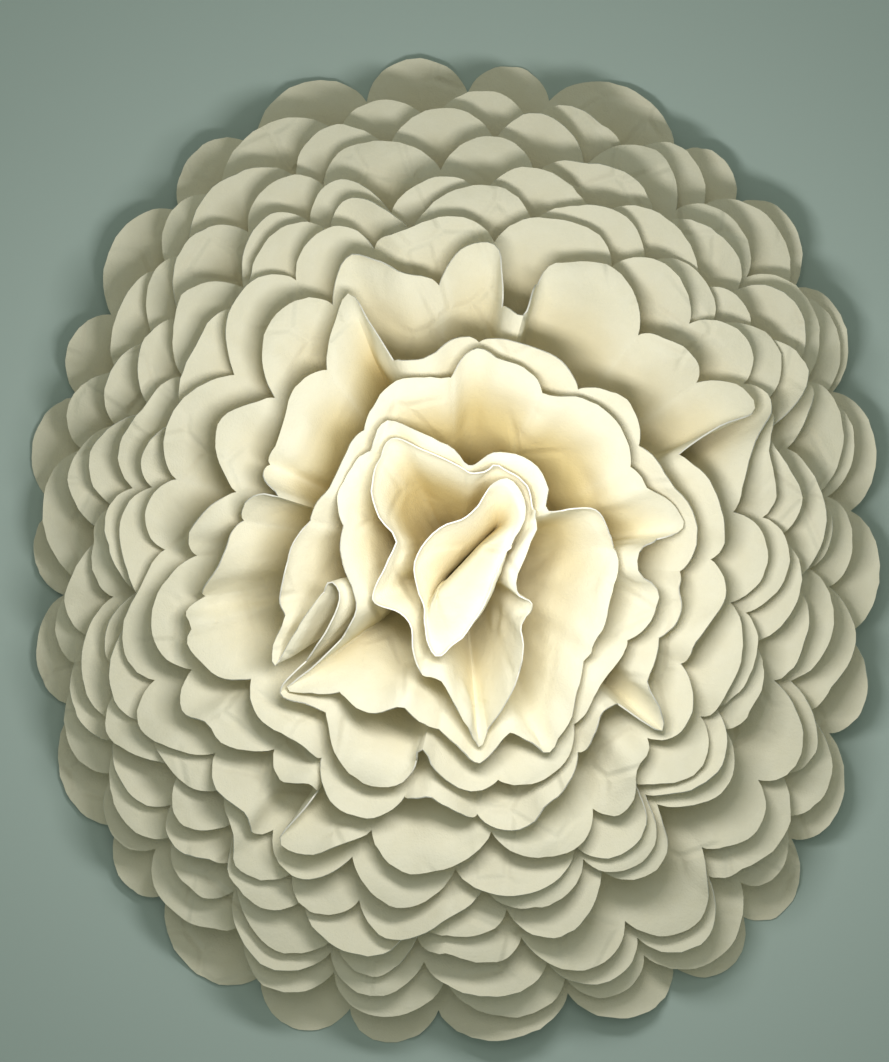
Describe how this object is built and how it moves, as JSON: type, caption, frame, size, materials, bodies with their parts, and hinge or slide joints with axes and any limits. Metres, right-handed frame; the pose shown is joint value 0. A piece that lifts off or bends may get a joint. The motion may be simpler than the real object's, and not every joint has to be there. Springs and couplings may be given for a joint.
{
  "type": "giant paper flower",
  "caption": "Domed giant paper flower of scalloped, gathered paper sheets stacked on a split pin, for lying or hanging as decoration.",
  "frame": {"origin": "on the table, under the middle of the flower's outline", "axes": "+Z out of the flower's face; +Y along its longest width, towards the top of the picture; +X to the picture's right"},
  "size_m": [0.2094, 0.243, 0.0637],
  "materials": {
    "paper": "matt ivory card with a fine grain",
    "brass": "plain rolled brass"
  },
  "bodies": {
    "root": {"outer_sheet_6": "paper", "outer_sheet_5": "paper", "outer_sheet_4": "paper", "outer_sheet_3": "paper", "outer_sheet_2": "paper", "outer_sheet_1": "paper", "inner_sheet_3": "paper", "inner_sheet_2": "paper", "inner_sheet_1": "paper", "heart_sheet_4": "paper", "heart_sheet_3": "paper", "heart_sheet_2": "paper", "heart_sheet_1": "paper", "split_pin": "brass"}
  },
  "joints": []
}
